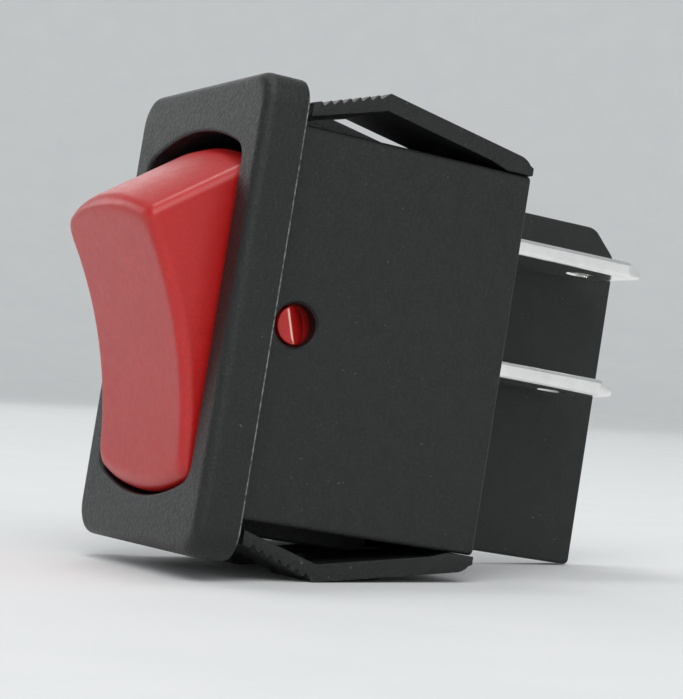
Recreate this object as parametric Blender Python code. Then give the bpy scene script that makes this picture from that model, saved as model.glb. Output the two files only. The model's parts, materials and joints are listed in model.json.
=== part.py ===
"""A small snap-in rocker switch, single pole, on-off.

The design is in millimetres and each mesh is scaled to metres as it is made.
+Z is up, -Y is the front that a finger presses, and the origin is the middle
of the bezel's rear face, which is the face that lands on the panel.
"""

import math

import bmesh
import bpy
from mathutils import Matrix, Vector

MM = 0.001

# Bezel and body
BEZEL_WIDTH, BEZEL_HEIGHT, BEZEL_DEPTH = 15.0, 21.0, 2.05
BEZEL_CORNER, BEZEL_EDGE = 1.4, 0.55
BODY_WIDTH, BODY_HEIGHT, BODY_DEPTH = 12.9, 17.3, 11.8
CAVITY_WIDTH, CAVITY_HEIGHT = 11.3, 16.1
OPENING_WIDTH, OPENING_SIDE_HEIGHT, OPENING_HEIGHT = 11.4, 14.4, 16.5
SWING_RELIEF_END = 3.0
ARM_RELIEF_WIDTH, ARM_RELIEF_DEPTH = 13.3, 0.1
RIB_WIDTH, RIB_HEIGHT, RIB_END = 3.4, 0.72, 8.8

# Rocker: depths are measured from its pivot, towards the rear
PIVOT_Y = 1.46
ROCKER_TILT = 18.0
ROCKER_WIDTH = 10.6
ROCKER_FRONT, ROCKER_DISH, ROCKER_DISH_RADIUS = -5.76, 0.8, 20.0
ROCKER_FRONT_HALF, ROCKER_TAPER, ROCKER_CROWN = 5.7, 0.30, 0.95
ROCKER_SWING_START, ROCKER_SWING_SIDE, ROCKER_SWING_MIDDLE = -2.0, 7.25, 8.1
ROCKER_REAR = -0.3
ROCKER_WALL, ROCKER_ROOF = 1.1, -3.75
PIN_RADIUS, PIN_REACH, PIN_HOLE = 0.84, 6.35, 0.97
PIN_RAMP_START, PIN_RAMP_DEPTH = -0.2, 1.0
LUG_RADIUS = 1.7
STEM_RADIUS, STEM_BORE, STEM_END = 1.55, 0.95, 4.2
BORE_END = -2.7

# Plunger and its spring, along the stem
PLUNGER_RADIUS, PLUNGER_NOSE, PLUNGER_START = 0.8, 0.6, 2.1
PLUNGER_CENTRE = 5.82
SPRING_RADIUS, SPRING_WIRE, SPRING_TURNS = 0.55, 0.11, 6
SPRING_START, SPRING_END = -2.5, 1.9

# See-saw contact arm
FULCRUM_Y = 8.6
ARM_TILT, ARM_SLOPE = 10.0, 20.0
ARM_WIDTH, ARM_WAIST, ARM_THICKNESS = 4.6, 3.0, 0.45
ARM_UPPER, ARM_LOWER, ARM_WAIST_HALF = 5.2, 5.0, 0.75
RIVET_ALONG = 4.4
RIVET_HOLE = 0.45

# Terminals
BLADE_WIDTH, BLADE_THICKNESS, BLADE_HOLE = 4.8, 0.8, 0.72
NECK_WIDTH, NECK_THICKNESS = 4.4, 0.6
BLADE_TIP_TAPER = 1.1
LOAD_Z, LOAD_TIP, LOAD_HOLE_Y = 6.0, 21.5, 18.95
COMMON_Z, COMMON_TIP, COMMON_HOLE_Y = 0.15, 20.9, 18.3
FLANGE_FRONT, FLANGE_LOW = 9.12, 3.3
FIXED_CONTACT_Z = 4.45
PRONG_FRONT, CRADLE_FRONT = 7.7, 8.8

# Rear insert with its barrier
BASE_FRONT, BASE_REAR, TAB_START = 10.6, 11.7, 11.95
BASE_WIDTH, BASE_HEIGHT = 11.0, 15.8
BARRIER_X, BARRIER_THICKNESS, BARRIER_HALF, BARRIER_END = -3.1, 1.2, 8.5, 22.6
BARRIER_START, BARRIER_CHAMFER = 11.95, 1.37
SLOT_CLEARANCE = 0.12

# Snap arms, drawn for the top one
ARM_TIP_Y, ARM_PEAK_Y, ARM_ROOT_Y = 0.6, 4.2, 11.85
ARM_TIP_Z, ARM_PEAK_Z, ARM_SHOULDER_Z = 9.65, 10.83, 9.5
LEAF, LEAF_BASE_Z, LEAF_TIP_Z = 0.8, 8.95, 9.02
TEETH, TOOTH_DEPTH, TEETH_START = 7, 0.17, 1.0
SNAP_SLOT_WIDTH, SNAP_SLOT_END = 4.0, 9.4
SNAP_HINGE_Y, SNAP_HINGE_Z = 11.3, 8.95

BLACK_NYLON = ((0.012, 0.013, 0.013, 1.0), 0.62, 0.0)
RED_NYLON = ((0.55, 0.035, 0.025, 1.0), 0.34, 0.0)
TINNED_BRASS = ((0.78, 0.78, 0.75, 1.0), 0.24, 1.0)
COPPER = ((0.78, 0.42, 0.26, 1.0), 0.30, 1.0)
SILVER = ((0.86, 0.86, 0.84, 1.0), 0.20, 1.0)
STEEL = ((0.62, 0.62, 0.60, 1.0), 0.28, 1.0)
WHITE_ACETAL = ((0.80, 0.79, 0.74, 1.0), 0.40, 0.0)


def clear_scene():
    for obj in list(bpy.data.objects):
        bpy.data.objects.remove(obj, do_unlink=True)


def material(name, finish):
    colour, roughness, metallic = finish
    found = bpy.data.materials.new(name)
    found.use_nodes = True
    shader = found.node_tree.nodes["Principled BSDF"]
    shader.inputs["Base Color"].default_value = colour
    shader.inputs["Roughness"].default_value = roughness
    shader.inputs["Metallic"].default_value = metallic
    found.diffuse_color = colour
    return found


def add_object(name, bm, finish=None, parent=None, place=(0, 0, 0)):
    """Turns a bmesh drawn in millimetres into an object in metres."""
    bmesh.ops.recalc_face_normals(bm, faces=bm.faces)
    bmesh.ops.scale(bm, vec=(MM, MM, MM), verts=bm.verts)
    mesh = bpy.data.meshes.new(name)
    bm.to_mesh(mesh)
    bm.free()
    obj = bpy.data.objects.new(name, mesh)
    bpy.context.scene.collection.objects.link(obj)
    obj.parent = parent
    obj.location = Vector(place) * MM
    if finish is None:
        obj.hide_render = True
        obj.display_type = "WIRE"
    else:
        mesh.materials.append(material(name, finish))
        mesh.shade_smooth()
        mesh.set_sharp_from_angle(angle=math.radians(35))
    return obj


def add_pivot(name, place, tilt=0.0):
    """An empty on a joint's axis, turned about X by tilt degrees."""
    pivot = bpy.data.objects.new(name, None)
    bpy.context.scene.collection.objects.link(pivot)
    pivot.location = Vector(place) * MM
    pivot.rotation_euler.x = math.radians(tilt)
    return pivot


def combine(target, tool, operation):
    step = target.modifiers.new(f"{operation.lower()} {tool.name}", "BOOLEAN")
    step.operation = operation
    step.solver = "EXACT"
    step.object = tool


def cut(target, tool):
    combine(target, tool, "DIFFERENCE")


def join(target, tool):
    combine(target, tool, "UNION")


def skin(bm, loops):
    """Joins equal-length loops of points into one closed surface with flat ends."""
    rings = [[bm.verts.new(point) for point in loop] for loop in loops]
    count = len(rings[0])
    for near, far in zip(rings, rings[1:]):
        for i in range(count):
            j = (i + 1) % count
            bm.faces.new((near[i], near[j], far[j], far[i]))
    bm.faces.new(rings[0])
    bm.faces.new(rings[-1])


def box(low, high):
    bm = bmesh.new()
    skin(bm, [[(x, y, z) for x, y in ((low[0], low[1]), (high[0], low[1]), (high[0], high[1]),
                                      (low[0], high[1]))] for z in (low[2], high[2])])
    return bm


def centred_box(width, height, y_from, y_to, x=0.0, z=0.0):
    return box((x - width / 2, y_from, z - height / 2), (x + width / 2, y_to, z + height / 2))


def side_prism(outline, x_from, x_to):
    """An outline of (y, z) points swept along X."""
    bm = bmesh.new()
    skin(bm, [[(x, y, z) for y, z in outline] for x in (x_from, x_to)])
    return bm


def turned(profile, segments=24):
    """A profile of (radius, y) points turned about the Y axis, with a point on the axis at each end."""
    bm = bmesh.new()
    rings = []
    for radius, y in profile[1:-1]:
        angles = [2 * math.pi * i / segments for i in range(segments)]
        rings.append([bm.verts.new((radius * math.cos(a), y, radius * math.sin(a))) for a in angles])
    for near, far in zip(rings, rings[1:]):
        for i in range(segments):
            j = (i + 1) % segments
            bm.faces.new((near[i], near[j], far[j], far[i]))
    for ring, (_, y) in ((rings[0], profile[0]), (rings[-1], profile[-1])):
        tip = bm.verts.new((0, y, 0))
        for i in range(segments):
            bm.faces.new((tip, ring[i], ring[(i + 1) % segments]))
    return bm


def rod(radius, y_from, y_to, segments=24):
    return turned([(0, y_from), (radius, y_from), (radius, y_to), (0, y_to)], segments)


def turn_about(bm, axis, degrees):
    turn = Matrix.Rotation(math.radians(degrees), 3, axis)
    bmesh.ops.rotate(bm, verts=bm.verts, cent=(0, 0, 0), matrix=turn)
    return bm


def shift(bm, offset):
    bmesh.ops.translate(bm, verts=bm.verts, vec=offset)
    return bm


def arc(centre, radius, start, end, steps):
    """Points (a, b) on a circle, from one angle in degrees to the other."""
    angles = [math.radians(start + (end - start) * i / steps) for i in range(steps + 1)]
    return [(centre[0] + radius * math.cos(a), centre[1] + radius * math.sin(a)) for a in angles]


def rounded_rectangle(width, height, corner, steps=6):
    """(x, z) points of a rectangle with round corners."""
    points = []
    for start, sx, sz in ((0, 1, 1), (90, -1, 1), (180, -1, -1), (270, 1, -1)):
        centre = (sx * (width / 2 - corner), sz * (height / 2 - corner))
        points += arc(centre, corner, start, start + 90, steps)
    return points


def crowned(x, half_width, crown):
    """How far an end that bulges by crown in its middle stands out at x."""
    return crown * (1 - (x / half_width) ** 2)


def crowned_outline(half_width, side_half, crown, steps=10):
    """(x, z) points of a slot with straight sides and bulging ends."""
    across = [half_width * (1 - 2 * i / steps) for i in range(steps + 1)]
    top = [(x, side_half + crowned(x, half_width, crown)) for x in across]
    return top + [(-x, -z) for x, z in top]


def make_bezel():
    """The bezel plate, its front edge rounded over."""
    loops = []
    steps = 4
    for i in range(steps + 1):
        angle = math.pi / 2 * i / steps
        inset = BEZEL_EDGE * (1 - math.cos(angle))
        y = -BEZEL_DEPTH + BEZEL_EDGE * (1 - math.sin(angle))
        ring = rounded_rectangle(BEZEL_WIDTH - 2 * inset, BEZEL_HEIGHT - 2 * inset, BEZEL_CORNER - inset * 0.6)
        loops.append([(x, y, z) for x, z in ring])
    flat = rounded_rectangle(BEZEL_WIDTH, BEZEL_HEIGHT, BEZEL_CORNER)
    loops = [[(x, 0.0, z) for x, z in flat]] + loops
    bm = bmesh.new()
    skin(bm, loops)
    return bm


def make_housing():
    """Bezel and box moulded in one, open at the rear, with a rib between the legs of each snap arm."""
    housing = add_object("housing", make_bezel(), BLACK_NYLON)
    body = add_object("body_block", centred_box(BODY_WIDTH, BODY_HEIGHT, -0.6, BODY_DEPTH))
    join(housing, body)

    crown = (OPENING_HEIGHT - OPENING_SIDE_HEIGHT) / 2
    outline = crowned_outline(OPENING_WIDTH / 2, OPENING_SIDE_HEIGHT / 2, crown)
    bm = bmesh.new()
    skin(bm, [[(x, y, z) for x, z in outline] for y in (-BEZEL_DEPTH - 1, SWING_RELIEF_END)])
    cut(housing, add_object("opening_cutter", bm))
    cut(housing, add_object("cavity_cutter", centred_box(CAVITY_WIDTH, CAVITY_HEIGHT, 0.0, BODY_DEPTH + 1)))

    bore = turn_about(rod(PIN_HOLE, -BODY_WIDTH, BODY_WIDTH), "Z", 90)
    cut(housing, add_object("pivot_bore_cutter", bore, place=(0, PIVOT_Y, 0)))

    inner, outer = BODY_HEIGHT / 2, BEZEL_HEIGHT / 2 + 1
    for side in (-1, 1):
        low, high = sorted((side * inner, side * outer))
        relief = box((-ARM_RELIEF_WIDTH / 2, -ARM_RELIEF_DEPTH, low), (ARM_RELIEF_WIDTH / 2, 1.0, high))
        cut(housing, add_object(f"arm_relief_cutter_{side}", relief))
        low, high = sorted((side * (inner - 0.5), side * (inner + RIB_HEIGHT)))
        rib = box((-RIB_WIDTH / 2, -0.5, low), (RIB_WIDTH / 2, RIB_END, high))
        join(housing, add_object(f"guide_rib_{side}", rib))
    return housing


def end_height(x, y):
    """Half the rocker's height at x, at depth y from the pivot: a drafted end, its rear trimmed to swing."""
    half = ROCKER_WIDTH / 2
    drafted = ROCKER_FRONT_HALF + ROCKER_TAPER * (y - ROCKER_FRONT) + crowned(x, half, ROCKER_CROWN)
    if y < ROCKER_SWING_START:
        return drafted
    swing = ROCKER_SWING_SIDE + crowned(x, half, ROCKER_SWING_MIDDLE - ROCKER_SWING_SIDE)
    return min(drafted, math.sqrt(swing**2 - y**2))


def rocker_block(inset, y_from, y_to, steps=8, across=8):
    """The rocker's outer form between two depths, inset all round."""
    half = ROCKER_WIDTH / 2
    loops = []
    for i in range(steps + 1):
        y = y_from + (y_to - y_from) * i / steps
        xs = [half * (1 - 2 * j / across) for j in range(across + 1)]
        top = [(x * (half - inset) / half, y, end_height(x, y) - inset) for x in xs]
        loops.append(top + [(-x, y, -z) for x, y, z in top])
    bm = bmesh.new()
    skin(bm, loops)
    return bm


def make_rocker(pivot):
    """The red button: a hollow cap on two pivot pins, with the spring's stem in its middle."""
    rocker = add_object("rocker", rocker_block(0.0, ROCKER_FRONT, ROCKER_REAR), RED_NYLON, pivot)
    centre_y = ROCKER_FRONT + ROCKER_DISH - ROCKER_DISH_RADIUS
    dish = turn_about(rod(ROCKER_DISH_RADIUS, -ROCKER_WIDTH, ROCKER_WIDTH, 160), "Z", 90)
    cut(rocker, add_object("dish_cutter", shift(dish, (0, centre_y, 0)), parent=pivot))
    pocket = rocker_block(ROCKER_WALL, ROCKER_ROOF, ROCKER_REAR + 0.5, steps=4)
    cut(rocker, add_object("pocket_cutter", pocket, parent=pivot))

    for side in (-1, 1):
        inner, outer = side * (ROCKER_WIDTH / 2 - ROCKER_WALL), side * ROCKER_WIDTH / 2
        lug = turn_about(rod(LUG_RADIUS, *sorted((inner, outer))), "Z", 90)
        join(rocker, add_object(f"pin_lug_{side}", lug, parent=pivot))
        pin = turn_about(rod(PIN_RADIUS, *sorted((side * 4.8, side * PIN_REACH))), "Z", 90)
        ramp_end = PIN_RAMP_START + PIN_RAMP_DEPTH
        ramp = [(PIN_REACH, PIN_RAMP_START), (PIN_REACH + 1, PIN_RAMP_START), (PIN_REACH + 1, ramp_end),
                (PIN_REACH - PIN_RAMP_DEPTH, ramp_end)]
        bm = bmesh.new()
        skin(bm, [[(side * x, y, z) for x, y in ramp] for z in (-1.2, 1.2)])
        pin_object = add_object(f"pivot_pin_{side}", pin, parent=pivot)
        cut(pin_object, add_object(f"pin_ramp_cutter_{side}", bm, parent=pivot))
        join(rocker, pin_object)

    join(rocker, add_object("stem", rod(STEM_RADIUS, ROCKER_ROOF - 0.4, STEM_END), parent=pivot))
    cut(rocker, add_object("stem_bore_cutter", rod(STEM_BORE, BORE_END, STEM_END + 1), parent=pivot))
    return rocker


def make_plunger(pivot):
    """A stepped pin with a round nose that slides in the rocker's stem."""
    nose = [(PLUNGER_NOSE * math.cos(a), PLUNGER_CENTRE + PLUNGER_NOSE * math.sin(a))
            for a in (math.radians(18 * i) for i in range(5))]
    profile = [(0, PLUNGER_START), (PLUNGER_RADIUS, PLUNGER_START), (PLUNGER_RADIUS, STEM_END + 0.9)]
    profile += nose + [(0, PLUNGER_CENTRE + PLUNGER_NOSE)]
    return add_object("plunger", turned(profile), WHITE_ACETAL, pivot)


def make_plunger_spring(pivot):
    """A closed-end compression spring inside the stem's bore."""
    per_turn = 12
    count = SPRING_TURNS * per_turn
    curve = bpy.data.curves.new("plunger_spring", "CURVE")
    curve.dimensions = "3D"
    curve.bevel_depth = SPRING_WIRE * MM
    curve.bevel_resolution = 1
    curve.use_fill_caps = True
    spline = curve.splines.new("POLY")
    spline.points.add(count)
    low, high = SPRING_START + SPRING_WIRE, SPRING_END - SPRING_WIRE
    for i, point in enumerate(spline.points):
        angle = 2 * math.pi * i / per_turn
        y = low + (high - low) * i / count
        point.co = (SPRING_RADIUS * math.cos(angle) * MM, y * MM, SPRING_RADIUS * math.sin(angle) * MM, 1)
    curve.materials.append(material("plunger_spring", STEEL))
    spring = bpy.data.objects.new("plunger_spring", curve)
    bpy.context.scene.collection.objects.link(spring)
    spring.parent = pivot
    return spring


def arm_end(length):
    """Rear and front corner (y, z) of the upper half's end, with the bend's rear vertex at the origin."""
    slope = math.radians(ARM_SLOPE)
    rear = Vector((-math.sin(slope), math.cos(slope))) * length
    return rear, rear - Vector((math.cos(slope), math.sin(slope))) * ARM_THICKNESS


def make_contact_arm(pivot):
    """A copper strip bent to a shallow V that rocks on the middle terminal."""
    top_rear, top_front = arm_end(ARM_UPPER)
    low_rear, low_front = arm_end(ARM_LOWER)
    front = ARM_THICKNESS / math.cos(math.radians(ARM_SLOPE))
    outline = [(0, 0), tuple(top_rear), tuple(top_front), (-front, 0),
               (low_front.x, -low_front.y), (low_rear.x, -low_rear.y)]
    arm = add_object("contact_arm", side_prism(outline, -ARM_WIDTH / 2, ARM_WIDTH / 2), COPPER, pivot)
    for side in (-1, 1):
        low_x, high_x = sorted((side * ARM_WAIST / 2, side * (ARM_WIDTH / 2 + 1)))
        notch = box((low_x, -2, -ARM_WAIST_HALF), (high_x, 1, ARM_WAIST_HALF))
        cut(arm, add_object(f"waist_cutter_{side}", notch, parent=pivot))
    hole = place_on_arm(rod(RIVET_HOLE, -1.5, 1.0, 16), RIVET_ALONG)
    cut(arm, add_object("rivet_hole_cutter", hole, parent=pivot))
    return arm


def place_on_arm(bm, along):
    """Moves a shape drawn on +Y from the origin to the rear of the arm's upper half."""
    turn_about(bm, "X", ARM_SLOPE)
    slope = math.radians(ARM_SLOPE)
    return shift(bm, (0, -math.sin(slope) * along, math.cos(slope) * along))


def rivet_profile(face_radius, face_height, shank, grip, upset):
    """A contact rivet: crowned contact face on +Y, shank through grip, upset head behind."""
    return [(0, -grip - 0.28), (upset * 0.8, -grip - 0.28), (upset, -grip - 0.08), (shank, -grip - 0.08),
            (shank, 0.08), (face_radius, 0.08), (face_radius, face_height * 0.65),
            (face_radius * 0.75, face_height * 0.9), (0, face_height)]


def make_moving_contact(pivot):
    profile = rivet_profile(0.9, 0.68, 0.32, ARM_THICKNESS, 0.6)
    return add_object("moving_contact", place_on_arm(turned(profile, 20), RIVET_ALONG), SILVER, pivot)


def make_fixed_contact():
    bm = turn_about(turned(rivet_profile(1.05, 0.5, 0.32, BLADE_THICKNESS, 0.6), 20), "Z", 180)
    return add_object("fixed_contact", bm, SILVER, place=(0, FLANGE_FRONT, FIXED_CONTACT_Z))


def make_tab(name, y_from, tip, z):
    """A tab with tapered corners and an eased tip, on a thinner neck that runs into the body."""
    terminal = add_object(name, blade(TAB_START, tip, z), TINNED_BRASS)
    neck = centred_box(NECK_WIDTH, NECK_THICKNESS, y_from, TAB_START + 0.4, z=z)
    join(terminal, add_object(f"{name}_neck", neck))
    return terminal


def blade(y_from, tip, z):
    """The part of a tab outside the body, lying flat."""
    half, taper = BLADE_WIDTH / 2, BLADE_TIP_TAPER
    thick = BLADE_THICKNESS / 2
    bm = bmesh.new()
    loops = []
    for level, ease in ((-thick, 0.18), (-thick * 0.6, 0.0), (thick * 0.6, 0.0), (thick, 0.18)):
        loops.append([(x, y, z + level) for x, y in (
            (-half, y_from), (half, y_from), (half, tip - taper * 1.2),
            (half - taper, tip - ease), (taper - half, tip - ease), (-half, tip - taper * 1.2))])
    skin(bm, loops)
    return bm


def pierce(terminal, name, hole_y, z):
    """The tab's round locking hole."""
    bm = turn_about(rod(BLADE_HOLE, -1.2, 1.2), "X", 90)
    cut(terminal, add_object(name, bm, place=(0, hole_y, z)))


def make_load_terminal():
    """Upper tab, bent down inside the body to carry the fixed contact."""
    terminal = make_tab("load_terminal", FLANGE_FRONT + 0.1, LOAD_TIP, LOAD_Z)
    top = LOAD_Z + BLADE_THICKNESS / 2
    flange = box((-2.1, FLANGE_FRONT, FLANGE_LOW), (2.1, FLANGE_FRONT + BLADE_THICKNESS, top))
    join(terminal, add_object("contact_flange", flange))
    hole = rod(RIVET_HOLE, -0.5, BLADE_THICKNESS + 0.5, 16)
    cut(terminal, add_object("fixed_rivet_cutter", hole, place=(0, FLANGE_FRONT, FIXED_CONTACT_Z)))
    pierce(terminal, "load_hole_cutter", LOAD_HOLE_Y, LOAD_Z)
    return terminal


def make_common_terminal():
    """Middle tab, whose forked front end is the cradle that the contact arm rocks in."""
    terminal = make_tab("common_terminal", PRONG_FRONT, COMMON_TIP, COMMON_Z)
    mouth = centred_box(ARM_WAIST + 0.5, 2, PRONG_FRONT - 1, CRADLE_FRONT, z=COMMON_Z)
    cut(terminal, add_object("cradle_cutter", mouth))
    pierce(terminal, "common_hole_cutter", COMMON_HOLE_Y, COMMON_Z)
    return terminal


def make_terminal_base():
    """Rear insert that closes the body and holds the tabs, with the barrier wall beside them."""
    base = add_object("terminal_base", centred_box(BASE_WIDTH, BASE_HEIGHT, BASE_FRONT, BASE_REAR), BLACK_NYLON)
    half, chamfer = BARRIER_HALF, BARRIER_CHAMFER
    outline = [(BARRIER_START, -half), (BARRIER_END, -half), (BARRIER_END, half - chamfer),
               (BARRIER_END - chamfer, half), (BARRIER_START, half)]
    wall = side_prism(outline, BARRIER_X - BARRIER_THICKNESS, BARRIER_X)
    root = centred_box(BARRIER_THICKNESS, BASE_HEIGHT - 1, BASE_REAR - 0.5, BARRIER_START + 0.5,
                       x=BARRIER_X - BARRIER_THICKNESS / 2)
    barrier = add_object("barrier_wall", wall)
    join(barrier, add_object("barrier_root", root))
    join(base, barrier)
    stop = box((-2.0, 8.85, -5.1), (2.0, BASE_FRONT + 0.3, -4.1))
    join(base, add_object("arm_stop", stop))
    gap = 2 * SLOT_CLEARANCE
    for name, z in (("load", LOAD_Z), ("common", COMMON_Z), ("spare", -LOAD_Z)):
        slot = centred_box(NECK_WIDTH + gap, NECK_THICKNESS + gap, BASE_FRONT - 0.5, BASE_REAR + 0.5, z=z)
        cut(base, add_object(f"{name}_slot_cutter", slot))
    return base


def snap_arm_outline():
    """(y, z) points of the top snap arm's leaf, serrated on its front slope."""
    rise = (ARM_PEAK_Z - ARM_TIP_Z) / (ARM_PEAK_Y - ARM_TIP_Y)
    points = [(ARM_TIP_Y, LEAF_TIP_Z), (ARM_TIP_Y, ARM_TIP_Z)]
    pitch = (ARM_PEAK_Y - 0.1 - TEETH_START) / TEETH
    for i in range(TEETH):
        y = TEETH_START + pitch * i
        z = ARM_TIP_Z + rise * (y - ARM_TIP_Y)
        points += [(y, z), (y + pitch * 0.3, z - TOOTH_DEPTH)]
    fall = math.degrees(math.atan2(ARM_PEAK_Z - ARM_SHOULDER_Z, ARM_ROOT_Y - 0.9 - ARM_PEAK_Y))
    points.append((ARM_PEAK_Y, ARM_PEAK_Z))
    points += arc((ARM_ROOT_Y - 0.9, ARM_SHOULDER_Z - 0.9), 0.9, 90 - fall, 35, 4)
    inner_peak = ARM_PEAK_Z - LEAF
    points += [(ARM_ROOT_Y, LEAF_BASE_Z), (SNAP_SLOT_END + 0.3, LEAF_BASE_Z), (ARM_PEAK_Y, inner_peak)]
    return points


def make_snap_arm(name, up):
    """A forked leaf from the body's rear corner that grips the panel's edge; up is 1 on top, -1 below."""
    outline = [(y - SNAP_HINGE_Y, up * (z - SNAP_HINGE_Z)) for y, z in snap_arm_outline()]
    hinge = (0, SNAP_HINGE_Y, up * SNAP_HINGE_Z)
    arm = add_object(name, side_prism(outline, -BODY_WIDTH / 2, BODY_WIDTH / 2), BLACK_NYLON, place=hinge)
    slot = centred_box(SNAP_SLOT_WIDTH, 8, ARM_TIP_Y - 1 - SNAP_HINGE_Y, SNAP_SLOT_END - SNAP_HINGE_Y)
    cut(arm, add_object(f"{name}_slot_cutter", slot, place=hinge))
    return arm


def main():
    clear_scene()
    make_housing()
    make_terminal_base()
    make_load_terminal()
    make_common_terminal()
    make_fixed_contact()

    rocker_pivot = add_pivot("rocker_pivot", (0, PIVOT_Y, 0), ROCKER_TILT)
    make_rocker(rocker_pivot)
    make_plunger(rocker_pivot)
    make_plunger_spring(rocker_pivot)

    fulcrum = add_pivot("fulcrum", (0, FULCRUM_Y, 0), -ARM_TILT)
    make_contact_arm(fulcrum)
    make_moving_contact(fulcrum)

    make_snap_arm("top_snap_arm", 1)
    make_snap_arm("bottom_snap_arm", -1)


main()
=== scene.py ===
"""The looks of a small snap-in rocker switch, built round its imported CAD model.

Shapes are drawn in millimetres in the model's own frame: +Z up along the bezel, -Y the
front that a finger presses, +X the right-hand side. MM turns them into metres.
"""

import json
import math

import bmesh
import bpy
from mathutils import Matrix, Vector


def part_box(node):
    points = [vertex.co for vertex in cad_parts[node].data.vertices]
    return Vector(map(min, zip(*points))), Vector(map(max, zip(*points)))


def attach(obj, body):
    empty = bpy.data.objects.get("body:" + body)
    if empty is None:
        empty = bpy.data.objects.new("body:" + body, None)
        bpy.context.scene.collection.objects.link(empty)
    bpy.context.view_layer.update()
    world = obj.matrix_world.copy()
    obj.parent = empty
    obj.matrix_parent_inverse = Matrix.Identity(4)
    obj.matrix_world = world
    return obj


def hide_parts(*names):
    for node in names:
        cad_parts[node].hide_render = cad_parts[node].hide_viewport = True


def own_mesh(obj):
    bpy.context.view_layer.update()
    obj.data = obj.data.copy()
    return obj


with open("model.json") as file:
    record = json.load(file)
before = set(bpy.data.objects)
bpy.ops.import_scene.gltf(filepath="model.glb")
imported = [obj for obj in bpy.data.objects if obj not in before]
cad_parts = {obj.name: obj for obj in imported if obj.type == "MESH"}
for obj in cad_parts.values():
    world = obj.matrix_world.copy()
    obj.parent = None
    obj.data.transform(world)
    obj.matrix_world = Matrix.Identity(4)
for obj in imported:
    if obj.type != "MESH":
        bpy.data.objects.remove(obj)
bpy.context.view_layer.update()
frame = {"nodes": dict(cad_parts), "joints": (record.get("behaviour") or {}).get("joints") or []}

MM = 0.001


def node_box(node):
    """A CAD node's lowest and highest corner, in millimetres."""
    low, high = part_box(node)
    return low / MM, high / MM


JOINTS = {joint["name"]: joint for joint in frame["joints"]}
HOUSING_LOW, HOUSING_HIGH = node_box("housing")
BASE_LOW, BASE_HIGH = node_box("terminal_base")
LOAD_LOW, LOAD_HIGH = node_box("load_terminal")
COMMON_LOW, COMMON_HIGH = node_box("common_terminal")
SNAP_LOW, SNAP_HIGH = node_box("top_snap_arm")

# Bezel and body
BEZEL_HALF_WIDTH, BEZEL_HALF_HEIGHT, BEZEL_FRONT = HOUSING_HIGH.x, HOUSING_HIGH.z, HOUSING_LOW.y
BEZEL_CORNER, BEZEL_EDGE, BEZEL_REAR_EDGE = 1.4, 0.55, 0.07
BODY_HALF_WIDTH, BODY_HALF_HEIGHT, BODY_REAR = 6.45, 8.65, HOUSING_HIGH.y
BODY_CORNER, BODY_EDGE, BODY_LEAST_CORNER = 0.25, 0.14, 0.1
CAVITY_HALF_WIDTH, CAVITY_HALF_HEIGHT, CAVITY_CORNER, CAVITY_CHAMFER = 5.65, 8.05, 0.3, 0.12
OPENING_HALF_WIDTH, OPENING_HALF_HEIGHT, OPENING_CROWN = 5.7, 7.2, 1.05
OPENING_CORNER, OPENING_EDGE = 0.7, 0.16
INSET_CORNER_SHARE = 0.6
HIGHLIGHT_GUARD_SIDE, HIGHLIGHT_GUARD_REAR = 0.02, 0.12
SWING_RELIEF_END, SWING_RELIEF_CROWN = 3.0, 0.2
ARM_RELIEF_HALF_WIDTH, ARM_RELIEF_DEPTH = 6.65, 0.1
RIB_HALF_WIDTH, RIB_HEIGHT, RIB_START, RIB_END, RIB_EDGE = 1.7, 0.72, -0.5, 8.8, 0.1

# How far cutters run past a wall, and how deep joined shapes reach into each other
OVERSHOOT, OVERLAP = 0.3, 0.4

# Rocker, in its own frame: depths run to the rear from its pivot
PIVOT = Vector(JOINTS["rocker_tilt"]["pos_m"]) / MM
TILT = -JOINTS["rocker_tilt"]["range_deg"][0] / 2
ROCKER_HALF_WIDTH, ROCKER_FRONT_HALF, ROCKER_CROWN, ROCKER_TAPER = 5.3, 5.66, 0.95, 0.30
ROCKER_FRONT, ROCKER_DISH, ROCKER_REAR = -5.83, 0.8, -0.3
SWING_START, SWING_SIDE, SWING_MIDDLE = -2.0, 7.25, 8.1
SIDE_ROUNDING, END_ROUNDING, SETTLE_ROUNDS = 0.5, 0.62, 4
FRONT_CORNER, RIDGE_CORNER = 0.7, 0.42
ROCKER_WALL, ROCKER_ROOF = 1.1, -3.75
PIN_RADIUS, PIN_REACH, PIN_HOLE, PIN_HOLE_CHAMFER = 0.84, 6.35, 0.97, 0.1
PIN_RAMP_START, PIN_RAMP_END, PIN_RAMP_DEPTH, PIN_RIDGE_EDGE = -0.2, 0.86, 1.1, 0.09
PIN_ROOT, PIN_EDGE, PIN_CUT_REACH = 4.8, 0.06, 1.2
DISH_REACH, STEM_EDGE, ROUNDING_STEPS, ROCKER_SIDE_STEPS, FACE_STEPS = 6.2, 0.12, 9, 44, 14
LUG_RADIUS, STEM_RADIUS, STEM_BORE, STEM_END, BORE_END = 1.7, 1.55, 0.95, 4.2, -2.7
SPRING_RADIUS, SPRING_WIRE, SPRING_TURNS, SPRING_START, SPRING_END = 0.55, 0.11, 6, -2.5, 1.9
SPRING_STEPS_PER_TURN, SPRING_STEPS_AROUND, SPRING_KEEP = 28, 10, 0.87

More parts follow.
